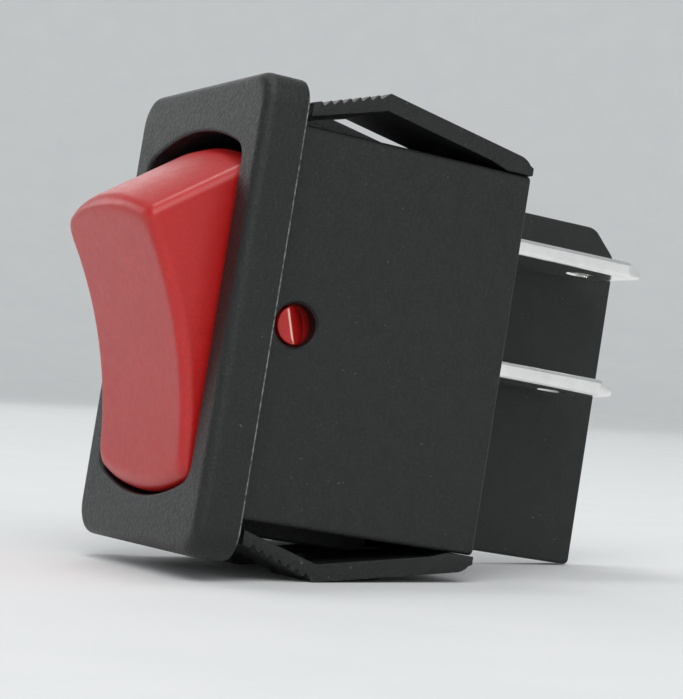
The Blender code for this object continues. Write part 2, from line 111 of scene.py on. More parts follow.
# Tabs
TAB_HALF_WIDTH, TAB_START, TAB_HOLE, TAB_TAPER, TAB_EDGE = LOAD_HIGH.x, 11.95, 0.72, 1.1, 0.2
TAB_THICKNESS, NECK_HALF_WIDTH, NECK_THICKNESS = 0.8, 2.2, 0.6
LOAD_HOLE_Y, COMMON_HOLE_Y = 18.95, 18.3
FLANGE_HALF_WIDTH, RIVET_HOLE, FIXED_CONTACT_Z = 2.1, 0.45, 4.45
CRADLE_HALF_WIDTH, CRADLE_FRONT = 1.75, 8.8
TAB_COIN_LENGTH, TAB_COIN_SHARE, TAB_COIN_ROWS = 1.15, 0.42, 6
TAB_TAPER_SLOPE, TAB_CORNER, TAB_HOLE_CHAMFER = 1.2, 0.28, 0.09
NECK_OVERLAP, NECK_EDGE, FLANGE_EDGE = 0.4, 0.07, 0.09

# Rear insert with its barrier
BASE_FRONT, BASE_REAR, BASE_HALF_WIDTH, BASE_HALF_HEIGHT = 10.6, 11.7, 5.5, 7.9
BARRIER_X, BARRIER_THICKNESS, BARRIER_CHAMFER, BARRIER_EDGE = -3.1, 1.2, 1.37, 0.14
BARRIER_CORNERS = (0.22, 0.28, 0.9, 0.9, 0.22)
SLOT_CLEARANCE, SLOT_CHAMFER = 0.12, 0.18
ARM_STOP_HALF_WIDTH, ARM_STOP_LOW, ARM_STOP_HIGH = 2.0, -5.1, -4.1
INSERT_EDGE, BARRIER_ROOT_EDGE, BARRIER_ROOT = 0.1, 0.05, 0.5

# Snap arms, drawn for the top one
ARM_TIP_Y, ARM_PEAK_Y, ARM_ROOT_Y = SNAP_LOW.y, 4.2, SNAP_HIGH.y
ARM_TIP_Z, ARM_PEAK_Z, ARM_SHOULDER_Z = 9.65, SNAP_HIGH.z, 9.5
LEAF, LEAF_BASE_Z, LEAF_TIP_Z, LEAF_FOOT_Z = 0.8, SNAP_LOW.z, 9.02, 8.68
TEETH, TOOTH_DEPTH, TEETH_START = 7, 0.17, 1.0
FORK_HALF_GAP, FORK_END, LEAF_BEND_Y, FOOT_START = 2.0, 9.4, 9.7, 10.5
FORK_CORNER, LEAF_EDGE, SHOULDER_RADIUS, SHOULDER_END_ANGLE = 0.5, 0.045, 0.9, 30
LEAF_ROWS = (6.0, 8.0, FORK_END, LEAF_BEND_Y, 10.1, FOOT_START)
TOOTH_WEAR = 0.12

CORNER_STEPS, END_STEPS, SIDE_STEPS = 10, 26, 12

# Camera, matched to the photograph's view; only its clipping range is in metres
CAMERA_PLACE, CAMERA_TARGET = (99.02, -39.71, -7.30), (2.437, 5.652, -0.371)
CAMERA_ROLL, CAMERA_LENS, CAMERA_SENSOR = 9.12, 121.3, 36.0
CAMERA_CLIP = (0.005, 20.0)

# Studio in millimetres: a bowl-shaped paper sweep, softboxes (name, place, width, height, watts), sky
SWEEP_FLAT, SWEEP_BEND, SWEEP_SEGMENTS, SWEEP_SINK = 430.0, 260.0, 128, 0.01
SWEEP_FLAT_STEPS, SWEEP_BEND_STEPS, SWEEP_STEP_DEGREES = 8, 15, 5
LIGHT_TARGET = (0, 5, 0)
SOFTBOXES = (
    ("key_softbox", (480, -240, 480), 640, 520, 3.1),
    ("overhead_softbox", (-60, -45, 300), 70, 70, 0.17),
    ("rim_softbox", (-360, 84, 180), 220, 110, 0.11),
    ("front_softbox", (-370, -180, 100), 170, 110, 0.11),
)
SKY_COLOUR, SKY_STRENGTH = (0.93, 0.97, 1.0, 1.0), 0.45

# Linear RGB colours; a texture mixes the two of a pair
BODY_BLACK = ((0.0045, 0.0050, 0.0048), (0.0070, 0.0076, 0.0074))
INSERT_BLACK = ((0.0075, 0.0082, 0.0080), (0.0110, 0.0118, 0.0115))
# The pale grey is worn teeth and a painted highlight on the bezel's rear edge
SPECKLE_BLACK, DUST_GREY, WEAR_AND_HIGHLIGHT_GREY = (0.020, 0.0215, 0.021), (0.085, 0.09, 0.088), (0.24, 0.25, 0.24)
BUTTON_RED = ((0.47, 0.0085, 0.0075), (0.54, 0.0120, 0.0100))
# The pale red paints a highlight on the pivot pins' ridges
GRAIN_RED, RIDGE_HIGHLIGHT_RED = (0.43, 0.0075, 0.0065), (0.85, 0.50, 0.40)
TIN = ((0.93, 0.93, 0.91), (0.82, 0.815, 0.79))
STEEL = ((0.60, 0.60, 0.58), (0.48, 0.47, 0.45))
COPPER = ((0.80, 0.42, 0.27), (0.62, 0.31, 0.20))
SILVER = ((0.86, 0.86, 0.84), (0.72, 0.71, 0.68))
ACETAL = ((0.80, 0.79, 0.74), (0.72, 0.71, 0.66))
PAPER = ((0.80, 0.81, 0.81), (0.83, 0.835, 0.83))


# ---------------------------------------------------------------- mesh tools


def quarter(steps):
    """(sine, cosine) pairs over a quarter turn."""
    angles = [math.pi / 2 * i / steps for i in range(steps + 1)]
    return [(math.sin(angle), math.cos(angle)) for angle in angles]


def arc(centre, radius, start, end, steps):
    """Points (a, b) on a circle, from one angle in degrees to the other."""
    angles = [math.radians(start + (end - start) * i / steps) for i in range(steps + 1)]
    return [(centre[0] + radius * math.cos(a), centre[1] + radius * math.sin(a)) for a in angles]


def between(start, end, steps):
    """The points inside a straight run, without its ends."""
    shares = [i / steps for i in range(1, steps)]
    return [(start[0] + (end[0] - start[0]) * s, start[1] + (end[1] - start[1]) * s) for s in shares]


def ring(half_width, half_height, corner, crown=0.0):
    """(x, z) points of a rectangle with round corners, whose two ends bulge by crown."""
    corners = []
    for start, sx, sz in ((0, 1, 1), (90, -1, 1), (180, -1, -1), (270, 1, -1)):
        centre = (sx * (half_width - corner), sz * (half_height - corner))
        corners.append(arc(centre, corner, start, start + 90, CORNER_STEPS))
    points = []
    for i, run in enumerate(corners):
        following = corners[(i + 1) % 4]
        points += run + between(run[-1], following[0], SIDE_STEPS if i % 2 else END_STEPS)
    return [(x, z + math.copysign(crown * (1 - (x / half_width) ** 2), z)) for x, z in points]


def join_loops(bm, loops, closed=False):
    """Skins loops of equally many points. Both ends stay open, or closed joins the last to the first."""
    rings = [[bm.verts.new(point) for point in loop] for loop in loops]
    pairs = list(zip(rings, rings[1:]))
    if closed:
        pairs.append((rings[-1], rings[0]))
    for near, far in pairs:
        for i in range(len(near)):
            j = (i + 1) % len(near)
            bm.faces.new((near[i], near[j], far[j], far[i]))
    return rings


def skin(bm, loops):
    """Loops joined into one closed surface with flat ends."""
    rings = join_loops(bm, loops)
    bm.faces.new(rings[0])
    bm.faces.new(rings[-1])


def fan(bm, loop, centre):
    """Closes a loop of vertices with triangles to one point."""
    tip = bm.verts.new(centre)
    for i in range(len(loop)):
        bm.faces.new((tip, loop[i], loop[(i + 1) % len(loop)]))


def inset_outline(points, distance):
    """A closed outline moved inwards by distance, corner for corner. It runs anticlockwise."""
    moved = []
    for i in range(len(points)):
        last, here = Vector(points[i - 1]), Vector(points[i])
        following = Vector(points[(i + 1) % len(points)])
        before, after = (here - last).normalized(), (following - here).normalized()
        inward = Vector((-before.y, before.x)) + Vector((-after.y, after.x))
        inward.normalize()
        spread = max(inward.dot(Vector((-before.y, before.x))), 0.35)
        moved.append(tuple(here + inward * distance / spread))
    return moved


def pillow(outline, low, high, edge, place, steps=4):
    """A plate: an anticlockwise outline swept from low to high, its edges rounded.

    place(a, b, level) turns an outline point and a level into a point in space.
    """
    loops = [(low + edge * (1 - c), edge * (1 - s)) for s, c in quarter(steps)]
    loops += [(low + high - level, inset) for level, inset in reversed(loops)]
    bm = bmesh.new()
    skin(bm, [[place(a, b, level) for a, b in inset_outline(outline, inset)] for level, inset in loops])
    return bm


def flat_place(a, b, level):
    """A pillow's point when its outline lies in the XY plane."""
    return (a, b, level)


def upright_place(a, b, level):
    """A pillow's point when its outline lies in the YZ plane."""
    return (level, a, b)


def turned(profile, segments=48):
    """(radius, height) points turned about the Y axis; the first and the last are on the axis."""
    bm = bmesh.new()
    angles = [2 * math.pi * i / segments for i in range(segments)]
    loops = [[(r * math.cos(a), y, r * math.sin(a)) for a in angles] for r, y in profile[1:-1]]
    rings = join_loops(bm, loops)
    fan(bm, rings[0], (0, profile[0][1], 0))
    fan(bm, rings[-1], (0, profile[-1][1], 0))
    return bm


def rod(radius, low, high, edge=0.0):
    """A round rod along Y, its end edges rounded."""
    if edge == 0.0:
        return turned([(0, low), (radius, low), (radius, high), (0, high)])
    start = arc((radius - edge, low + edge), edge, -90, 0, 4)
    end = arc((radius - edge, high - edge), edge, 0, 90, 4)
    return turned([(0, low)] + start + end + [(0, high)])


def along_x(bm):
    """Turns a shape drawn along Y so that its +Y end points to +X."""
    bmesh.ops.rotate(bm, verts=bm.verts, cent=(0, 0, 0), matrix=Matrix.Rotation(-math.pi / 2, 3, "Z"))
    return bm


def shift(bm, offset):
    """Moves a shape."""
    bmesh.ops.translate(bm, verts=bm.verts, vec=offset)
    return bm


def rounded_block(low, high, edge):
    """A box with rounded edges, swept along Z."""
    outline = [(low[0], low[1]), (high[0], low[1]), (high[0], high[1]), (low[0], high[1])]
    return pillow(soften(outline, 1.6 * edge), low[2], high[2], edge, flat_place)


def soften(outline, radii, steps=4):
    """A convex anticlockwise outline with round corners: one radius for all, or a tuple with one each."""
    if not isinstance(radii, tuple):
        radii = (radii,) * len(outline)
    points = []
    for i, radius in enumerate(radii):
        last, here = Vector(outline[i - 1]), Vector(outline[i])
        following = Vector(outline[(i + 1) % len(outline)])
        into, out = (here - last).normalized(), (following - here).normalized()
        turn = math.atan2(into.cross(out), into.dot(out))
        start = here - into * radius * math.tan(turn / 2)
        centre = start + Vector((-into.y, into.x)) * radius
        first = math.degrees(math.atan2(-into.x, into.y))
        points += arc(centre, radius, first, first + math.degrees(turn), steps)
    return points


def solid(name, bm):
    """Turns a shape into a work object, still in millimetres."""
    bmesh.ops.recalc_face_normals(bm, faces=bm.faces)
    mesh = bpy.data.meshes.new(name)
    bm.to_mesh(mesh)
    bm.free()
    obj = bpy.data.objects.new(name, mesh)
    bpy.context.scene.collection.objects.link(obj)
    return obj


def combine(obj, bm, operation):
    """Applies a Boolean with a shape to obj and uses the shape up."""
    tool = solid("tool", bm)
    step = obj.modifiers.new("step", "BOOLEAN")
    step.operation = operation
    step.solver = "EXACT"
    step.object = tool
    bpy.context.view_layer.update()
    evaluated = obj.evaluated_get(bpy.context.evaluated_depsgraph_get())
    mesh = bpy.data.meshes.new_from_object(evaluated)
    obj.modifiers.clear()
    obj.data = mesh
    bpy.data.objects.remove(tool, do_unlink=True)


def cut(obj, bm):
    """Cuts a shape from obj."""
    combine(obj, bm, "DIFFERENCE")


def join(obj, bm):
    """Joins a shape onto obj."""
    combine(obj, bm, "UNION")


def finish_piece(obj, body, look, nodes, sharp=32):
    """Scales a work object to metres, shades it and puts it on its body in place of its CAD nodes."""
    obj.data.transform(Matrix.Scale(MM, 4))
    obj.data.materials.clear()
    obj.data.materials.append(look)
    obj.data.shade_smooth()
    obj.data.set_sharp_from_angle(angle=math.radians(sharp))
    normals = obj.modifiers.new("weighted normals", "WEIGHTED_NORMAL")
    normals.keep_sharp = True
    normals.weight = 80
    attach(obj, body)
    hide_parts(*nodes)
    return obj


# ---------------------------------------------------------------- materials


class Look:
    """A node material under construction: a Principled shader with helpers that chain textures into it."""

    def __init__(self, name):
        self.material = bpy.data.materials.new(name)
        self.material.use_nodes = True
        self.tree = self.material.node_tree
        self.shader = self.tree.nodes["Principled BSDF"]
        self.place = self.tree.nodes.new("ShaderNodeTexCoord").outputs["Object"]

    def node(self, kind, **settings):
        """A new node with its settings."""
        made = self.tree.nodes.new(kind)
        for name, value in settings.items():
            setattr(made, name, value)
        return made

    def link(self, output, target):
        """Joins an output to an input."""
        self.tree.links.new(output, target)

    def stretched(self, scale):
        """The texture position, with each axis scaled."""
        mapping = self.node("ShaderNodeMapping")
        mapping.inputs["Scale"].default_value = scale
        self.link(self.place, mapping.inputs["Vector"])
        return mapping.outputs["Vector"]

    def noise(self, size_mm, detail=3.0, roughness=0.55, scale=None):
        """Noise whose blobs are about size_mm across."""
        texture = self.node("ShaderNodeTexNoise")
        texture.inputs["Scale"].default_value = 1 / (size_mm * MM)
        texture.inputs["Detail"].default_value = detail
        texture.inputs["Roughness"].default_value = roughness
        self.link(self.stretched(scale) if scale else self.place, texture.inputs["Vector"])
        return texture.outputs["Fac"]

    def cells(self, size_mm):
        """Distances from scattered points about size_mm apart."""
        texture = self.node("ShaderNodeTexVoronoi", feature="F1")
        texture.inputs["Scale"].default_value = 1 / (size_mm * MM)
        self.link(self.place, texture.inputs["Vector"])
        return texture.outputs["Distance"]

    def spread(self, value, low, high, to_low=0.0, to_high=1.0):
        """value taken from one range to another, and held at its ends."""
        made = self.node("ShaderNodeMapRange")
        self.link(value, made.inputs["Value"])
        limits = {"From Min": low, "From Max": high, "To Min": to_low, "To Max": to_high}
        for name, number in limits.items():
            made.inputs[name].default_value = number
        return made.outputs["Result"]

    def blend(self, share, first, second):
        """Mixes two colours; each is a colour tuple or another node's output."""
        made = self.node("ShaderNodeMix", data_type="RGBA", blend_type="MIX")
        self.link(share, made.inputs[0])
        for socket, colour in ((made.inputs[6], first), (made.inputs[7], second)):
            if isinstance(colour, tuple):
                socket.default_value = (*colour, 1.0)
            else:
                self.link(colour, socket)
        return made.outputs[2]

    def product(self, first, second):
        """Two outputs multiplied."""
        made = self.node("ShaderNodeMath", operation="MULTIPLY")
        self.link(first, made.inputs[0])
        self.link(second, made.inputs[1])
        return made.outputs[0]

    def attribute(self, name):
        """A value stored on the mesh."""
        return self.node("ShaderNodeAttribute", attribute_name=name).outputs["Fac"]

    def bump(self, heights):
        """Chains (height, depth in mm, strength) layers into the shader's normal."""
        last = None
        for height, depth, strength in heights:
            made = self.node("ShaderNodeBump")
            made.inputs["Distance"].default_value = depth * MM
            made.inputs["Strength"].default_value = strength
            self.link(height, made.inputs["Height"])
            if last:
                self.link(last, made.inputs["Normal"])
            last = made.outputs["Normal"]
        self.link(last, self.shader.inputs["Normal"])

    def colour(self, output):
        """Drives the shader's base colour."""
        self.link(output, self.shader.inputs["Base Color"])

    def rough(self, output):
        """Drives the shader's roughness."""
        self.link(output, self.shader.inputs["Roughness"])


def black_plastic(name, tones, rough_low, rough_high, grain_depth):
    """Black nylon off a spark-eroded mould: finely pitted, with dusty flecks, and pale where the mesh
    marks worn teeth or a painted edge highlight.
    """
    look = Look(name)
    cloud = look.spread(look.noise(0.8, 4), 0.36, 0.66)
    grain = look.noise(0.11, 4, 0.7)
    pits = look.cells(0.2)
    body = look.blend(cloud, *tones)
    speckled = look.blend(look.spread(grain, 0.5, 0.72), body, SPECKLE_BLACK)
    fleck = look.spread(look.noise(0.3, 2), 0.72, 0.8)
    dusty = look.blend(fleck, speckled, DUST_GREY)
    ragged = look.spread(look.noise(0.3, 3), 0.36, 0.6, 0.1, 1.0)
    wear_and_highlight = look.product(look.attribute("wear_and_highlight"), ragged)
    # Marked vertices turn pale grey: wear on the teeth, a painted highlight on the bezel's rear edge
    look.colour(look.blend(wear_and_highlight, dusty, WEAR_AND_HIGHLIGHT_GREY))
    look.rough(look.spread(look.noise(0.14, 3), 0.3, 0.7, rough_low, rough_high))
    look.shader.inputs["Specular IOR Level"].default_value = 0.42
    look.bump([(pits, grain_depth, 0.5), (grain, grain_depth, 0.9)])
    return look.material


def red_plastic():
    """Satin red nylon, faintly orange-peeled, with a pale highlight painted on its pin ridges."""
    look = Look("red_nylon_satin")
    cloud = look.spread(look.noise(2.2, 3), 0.35, 0.68)
    body = look.blend(cloud, *BUTTON_RED)
    fine = look.spread(look.noise(0.16, 2), 0.3, 0.7)
    grained = look.blend(fine, body, GRAIN_RED)
    # Marked vertices turn pale red: a painted highlight on the pin ridges
    look.colour(look.blend(look.attribute("wear_and_highlight"), grained, RIDGE_HIGHLIGHT_RED))
    look.rough(look.spread(look.noise(0.45, 3), 0.3, 0.72, 0.34, 0.42))
    look.shader.inputs["Specular IOR Level"].default_value = 0.55
    look.shader.inputs["Subsurface Weight"].default_value = 0.06
    look.shader.inputs["Subsurface Radius"].default_value = (0.9, 0.12, 0.08)
    look.shader.inputs["Subsurface Scale"].default_value = 0.4 * MM
    look.bump([(look.noise(0.6, 2), 0.004, 0.3), (look.noise(0.11, 2), 0.003, 0.45)])
    return look.material


def bright_tin():
    """Tin-plated brass with stamping streaks along the tab and slightly dulled patches."""
    look = Look("tinned_brass_bright")
    streaks = look.noise(0.16, 4, 0.6, scale=(1.0, 0.05, 1.0))
    patches = look.spread(look.noise(1.1, 4), 0.35, 0.7)
    look.colour(look.blend(patches, *TIN))
    look.shader.inputs["Metallic"].default_value = 1.0
    look.rough(look.spread(streaks, 0.3, 0.72, 0.1, 0.24))
    look.bump([(streaks, 0.004, 0.4), (look.noise(0.35, 3), 0.004, 0.35)])
    return look.material


def strip_metal(name, tones, rough_low, rough_high, grain_axis):
    """Bare strip or wire with rolling streaks along one axis and a breath of tarnish."""
    look = Look(name)
    scale = tuple(0.06 if axis == grain_axis else 1.0 for axis in "xyz")
    streaks = look.noise(0.1, 3, 0.6, scale=scale)
    look.colour(look.blend(look.spread(look.noise(0.9, 4), 0.38, 0.66), *tones))
    look.shader.inputs["Metallic"].default_value = 1.0
    look.rough(look.spread(streaks, 0.3, 0.7, rough_low, rough_high))
    look.bump([(streaks, 0.003, 0.4)])
    return look.material


def white_acetal():
    """Slick, slightly waxy white plastic."""
    look = Look("acetal_waxy")
    look.colour(look.blend(look.spread(look.noise(0.8, 3), 0.35, 0.7), *ACETAL))
    look.rough(look.spread(look.noise(0.3, 3), 0.3, 0.7, 0.3, 0.42))
    look.shader.inputs["Subsurface Weight"].default_value = 0.15
    look.shader.inputs["Subsurface Scale"].default_value = 0.3 * MM
    look.bump([(look.noise(0.15, 2), 0.003, 0.4)])
    return look.material


def studio_paper():
    """Plain pale seamless paper."""
    look = Look("studio_paper")
    look.colour(look.blend(look.spread(look.noise(9.0, 3), 0.3, 0.7), *PAPER))
    look.shader.inputs["Roughness"].default_value = 0.85
    look.shader.inputs["Specular IOR Level"].default_value = 0.2
    look.bump([(look.noise(0.35, 3), 0.02, 0.25)])
    return look.material


# ---------------------------------------------------------------- housing


def bezel_ring(inset, y):
    """A loop round the bezel at depth y."""
    corner = BEZEL_CORNER - INSET_CORNER_SHARE * inset
    points = ring(BEZEL_HALF_WIDTH - inset, BEZEL_HALF_HEIGHT - inset, corner)
    return [(x, y, z) for x, z in points]


def body_ring(inset, y):
    """A loop round the box at depth y."""
    corner = max(BODY_CORNER - inset, BODY_LEAST_CORNER)
    points = ring(BODY_HALF_WIDTH - inset, BODY_HALF_HEIGHT - inset, corner)
    return [(x, y, z) for x, z in points]


def cavity_ring(inset, y):
    """A loop round the box's inside at depth y."""
    points = ring(CAVITY_HALF_WIDTH - inset, CAVITY_HALF_HEIGHT - inset, CAVITY_CORNER)
    return [(x, y, z) for x, z in points]


def opening_ring(outset, y):
    """A loop round the crowned opening at depth y."""
    half_width, half_height = OPENING_HALF_WIDTH + outset, OPENING_HALF_HEIGHT + outset
    corner = OPENING_CORNER + outset * INSET_CORNER_SHARE
    points = ring(half_width, half_height, corner, OPENING_CROWN)
    return [(x, y, z) for x, z in points]


def housing_shell():
    """The bezel and box as one closed surface: opening, front, outside, rear rim and inside."""
    loops = [opening_ring(0.0, 0.0)]
    loops += [opening_ring(OPENING_EDGE * (1 - c), BEZEL_FRONT + OPENING_EDGE * (1 - s))
              for s, c in quarter(4)]
    loops += [bezel_ring(BEZEL_EDGE * (1 - s), BEZEL_FRONT + BEZEL_EDGE * (1 - c)) for s, c in quarter(8)]
    # Two extra loops beside the rear edge keep its painted highlight from spreading over the flat faces
    loops.append(bezel_ring(0.0, -BEZEL_REAR_EDGE - HIGHLIGHT_GUARD_SIDE))
    loops += [bezel_ring(BEZEL_REAR_EDGE * (1 - c), -BEZEL_REAR_EDGE * (1 - s)) for s, c in quarter(3)]
    loops.append(bezel_ring(BEZEL_REAR_EDGE + HIGHLIGHT_GUARD_REAR, 0.0))
    loops += [body_ring(-BODY_EDGE * (1 - s), BODY_EDGE * (1 - c)) for s, c in quarter(3)]
    loops += [body_ring(BODY_EDGE * (1 - c), BODY_REAR - BODY_EDGE * (1 - s)) for s, c in quarter(4)]
    loops += [cavity_ring(-CAVITY_CHAMFER, BODY_REAR), cavity_ring(0.0, BODY_REAR - CAVITY_CHAMFER)]
    loops += [cavity_ring(0.0, SWING_RELIEF_END + 0.2)]
    relief = ring(OPENING_HALF_WIDTH, CAVITY_HALF_HEIGHT, CAVITY_CORNER, SWING_RELIEF_CROWN)
    loops += [[(x, y, z) for x, z in relief] for y in (SWING_RELIEF_END, 0.1)]
    bm = bmesh.new()
    join_loops(bm, loops, closed=True)
    return bm


def pivot_bore(side):
    """A cutter for the pivot hole in one side wall, flared at the outside."""
    wall_in, wall_out = CAVITY_HALF_WIDTH - OVERLAP, BODY_HALF_WIDTH
    flare = PIN_HOLE + PIN_HOLE_CHAMFER + OVERSHOOT
    profile = [(0, wall_in), (PIN_HOLE, wall_in), (PIN_HOLE, wall_out - PIN_HOLE_CHAMFER),
               (flare, wall_out + OVERSHOOT), (0, wall_out + OVERSHOOT)]
    bore = along_x(turned(profile, 64))
    if side < 0:
        half_turn = Matrix.Rotation(math.pi, 3, "Z")
        bmesh.ops.rotate(bore, verts=bore.verts, cent=(0, 0, 0), matrix=half_turn)
    return shift(bore, PIVOT)


def arm_relief(side):
    """A shallow cutter for the bezel's back, which leaves room for a snap arm's tip."""
    low, high = sorted((side * (BODY_HALF_HEIGHT + BODY_EDGE), side * (BEZEL_HALF_HEIGHT + 1)))
    half = ARM_RELIEF_HALF_WIDTH
    outline = [(-half, -ARM_RELIEF_DEPTH), (half, -ARM_RELIEF_DEPTH), (half, 0.12), (-half, 0.12)]
    bm = bmesh.new()
    skin(bm, [[(x, y, z) for x, y in outline] for z in (low, high)])
    return bm


def guide_rib(side):
    """A low rib on the box, between a snap arm's legs."""
    low, high = sorted((side * (BODY_HALF_HEIGHT - OVERLAP), side * (BODY_HALF_HEIGHT + RIB_HEIGHT)))
    return rounded_block((-RIB_HALF_WIDTH, RIB_START, low), (RIB_HALF_WIDTH, RIB_END, high), RIB_EDGE)


def make_housing(look):
    """Bezel and open box moulded as one."""
    housing = solid("switch_housing", housing_shell())
    for side in (-1, 1):
        cut(housing, pivot_bore(side))
        cut(housing, arm_relief(side))
        join(housing, guide_rib(side))
    # The bezel's rear edge is marked for a pale painted highlight
    mark_wear_and_highlight(housing, bezel_edge_highlight)
    return finish_piece(housing, "housing", look, ["housing"])


def mark_wear_and_highlight(obj, share):
    """Stores each vertex's share of wear and of painted highlight, from its place in millimetres, before
    the piece is finished.
    """
    layer = obj.data.attributes.new("wear_and_highlight", "FLOAT", "POINT")
    layer.data.foreach_set("value", [share(vertex.co) for vertex in obj.data.vertices])


def unworn(place):
    """No wear anywhere."""
    return 0.0


def bezel_edge_highlight(place):
    """1 on the bezel's sharp rear edge, where a pale highlight is painted, 0 elsewhere."""
    outer = max(abs(place.x) - BEZEL_HALF_WIDTH, abs(place.z) - BEZEL_HALF_HEIGHT) > -0.12
    return 1.0 if outer and -BEZEL_REAR_EDGE - 0.005 < place.y < 0.01 else 0.0


# ---------------------------------------------------------------- rocker


def dish(z):
    """Depth of the rocker's hollow front at height z."""
    return ROCKER_FRONT + ROCKER_DISH * (1 - (min(abs(z), DISH_REACH) / ROCKER_FRONT_HALF) ** 2)


def swing_height(x, y):
    """The greatest height at which the rocker's end still swings clear of the body."""
    radius = SWING_SIDE + (SWING_MIDDLE - SWING_SIDE) * (1 - (x / ROCKER_HALF_WIDTH) ** 2)
    return math.sqrt(max(radius**2 - y**2, 0.01))


def rocker_loop(inset_side, inset_end, corner, depth_at):
    """One loop round the rocker.

    depth_at(height, facing) gives a point's y; facing is 1 on an end and 0 on a side. Height and
    depth depend on each other through the draft of the ends, so a few rounds settle them.
    """
    half_width, half_height = ROCKER_HALF_WIDTH - inset_side, ROCKER_FRONT_HALF - inset_end
    crown = ROCKER_CROWN * (half_width / ROCKER_HALF_WIDTH) ** 2
    flat = ring(half_width, half_height, corner)
    loop = []
    for x, z in flat:
        over = max(abs(z) - (half_height - corner), 0.0) / corner
        facing = min(over, 1.0) ** 2
        if abs(x) < half_width - corner:
            facing = 1.0
        share = min(abs(z) / (half_height - corner), 1.0)
        bulge = crown * (1 - (x / half_width) ** 2)
        height = abs(z) + bulge
        for _ in range(SETTLE_ROUNDS):
            y = depth_at(height, facing)
            draft = ROCKER_TAPER * (y - ROCKER_FRONT) * share
            height = abs(z) + bulge + draft
            if y > SWING_START:
                height = min(height, swing_height(x, y) - inset_end)
        loop.append((x, y, math.copysign(height, z)))
    return loop


def rocker_shell():
    """The button alone: dished face, rounded front edge, drafted sides and hollow back."""
    rounding = []
    for s, c in quarter(ROUNDING_STEPS):
        corner = FRONT_CORNER + (RIDGE_CORNER - FRONT_CORNER) * s

        def depth(height, facing, c=c):
            radius = SIDE_ROUNDING + (END_ROUNDING - SIDE_ROUNDING) * facing
            return dish(height) + radius * (1 - c)

        rounding.append(rocker_loop(SIDE_ROUNDING * (1 - s), END_ROUNDING * (1 - s), corner, depth))

    sides = []
    for i in range(1, ROCKER_SIDE_STEPS + 1):
        share = i / ROCKER_SIDE_STEPS

        def depth(height, facing, share=share):
            radius = SIDE_ROUNDING + (END_ROUNDING - SIDE_ROUNDING) * facing
            start = dish(height) + radius
            return start + (ROCKER_REAR - start) * share

        sides.append(rocker_loop(0.0, 0.0, RIDGE_CORNER, depth))

    def inner_loop(y):
        """A flat loop round the hollow."""
        return rocker_loop(ROCKER_WALL, ROCKER_WALL, RIDGE_CORNER, lambda height, facing: y)

    middle = (ROCKER_REAR + ROCKER_ROOF) / 2
    inside = [inner_loop(y) for y in (ROCKER_REAR, middle, ROCKER_ROOF)]

    face = []
    for i in range(1, FACE_STEPS):
        share = 1 - i / FACE_STEPS
        shrunk = [(x * share, z * share) for x, _, z in rounding[0]]
        face.append([(x, dish(z), z) for x, z in shrunk])

    bm = bmesh.new()
    rings = join_loops(bm, list(reversed(face)) + rounding + sides + inside)
    fan(bm, rings[0], (0, dish(0), 0))
    fan(bm, rings[-1], (0, ROCKER_ROOF, 0))
    return bm


def pivot_pin(side):
    """One pivot pin: its end is half flat and half a ramp, with a rounded ridge between them."""
    low, high = sorted((side * PIN_ROOT, side * PIN_REACH))
    pin = solid("pin", along_x(rod(PIN_RADIUS, low, high, edge=PIN_EDGE)))
    foot = PIN_REACH - PIN_RAMP_DEPTH
    ramp = [(PIN_REACH, PIN_RAMP_START), (PIN_REACH + 1, PIN_RAMP_START),
            (PIN_REACH + 1, PIN_CUT_REACH), (foot, PIN_CUT_REACH), (foot, PIN_RAMP_END)]
    wedge = bmesh.new()
    skin(wedge, [[(side * x, y, z) for x, y in ramp] for z in (-PIN_CUT_REACH, PIN_CUT_REACH)])
    cut(pin, wedge)
    bm = bmesh.new()
    bm.from_mesh(pin.data)
    ridge = [edge for edge in bm.edges if all(on_pin_ridge(vertex.co) for vertex in edge.verts)]
    bmesh.ops.bevel(bm, geom=ridge, offset=PIN_RIDGE_EDGE, offset_type="OFFSET", segments=4,
                    profile=0.5, affect="EDGES")
    bpy.data.objects.remove(pin, do_unlink=True)
    return bm


def make_rocker(look):
    """The dished red button on its two pivot pins, hollow behind, with the spring's stem in its middle."""
    rocker = solid("rocker_button", rocker_shell())
    for side in (-1, 1):
        inner = side * (ROCKER_HALF_WIDTH - ROCKER_WALL - 0.05)
        outer = side * (ROCKER_HALF_WIDTH - 0.02)
        join(rocker, along_x(rod(LUG_RADIUS, *sorted((inner, outer)))))
        join(rocker, pivot_pin(side))
    join(rocker, rod(STEM_RADIUS, ROCKER_ROOF - OVERLAP, STEM_END, edge=STEM_EDGE))
    cut(rocker, rod(STEM_BORE, BORE_END, STEM_END + 1))
    # The pin ridges are marked for a pale painted highlight
    mark_wear_and_highlight(rocker, pin_ridge_highlight)
    rocker.data.transform(Matrix.Translation(PIVOT) @ Matrix.Rotation(math.radians(TILT), 4, "X"))
    return finish_piece(rocker, "rocker", look, ["rocker"])


def on_pin_ridge(place):
    """True on the line where a pin's flat end meets its ramp. place is from the pivot."""
    return abs(place.y - PIN_RAMP_START) < 1e-3 and abs(abs(place.x) - PIN_REACH) < 1e-3


def pin_ridge_highlight(place):
    """1 on the rounded ridge where a pin's flat end meets its ramp, which gets a painted highlight. place
    is from the pivot.
    """
    off_end = PIN_REACH - abs(place.x)
    off_ramp = place.y - PIN_RAMP_START
    on_ridge = 0.003 < off_end < PIN_RIDGE_EDGE and abs(off_ramp) < PIN_RIDGE_EDGE * 0.66
    return 1.0 if on_ridge and abs(place.z) < PIN_RADIUS - 0.05 else 0.0


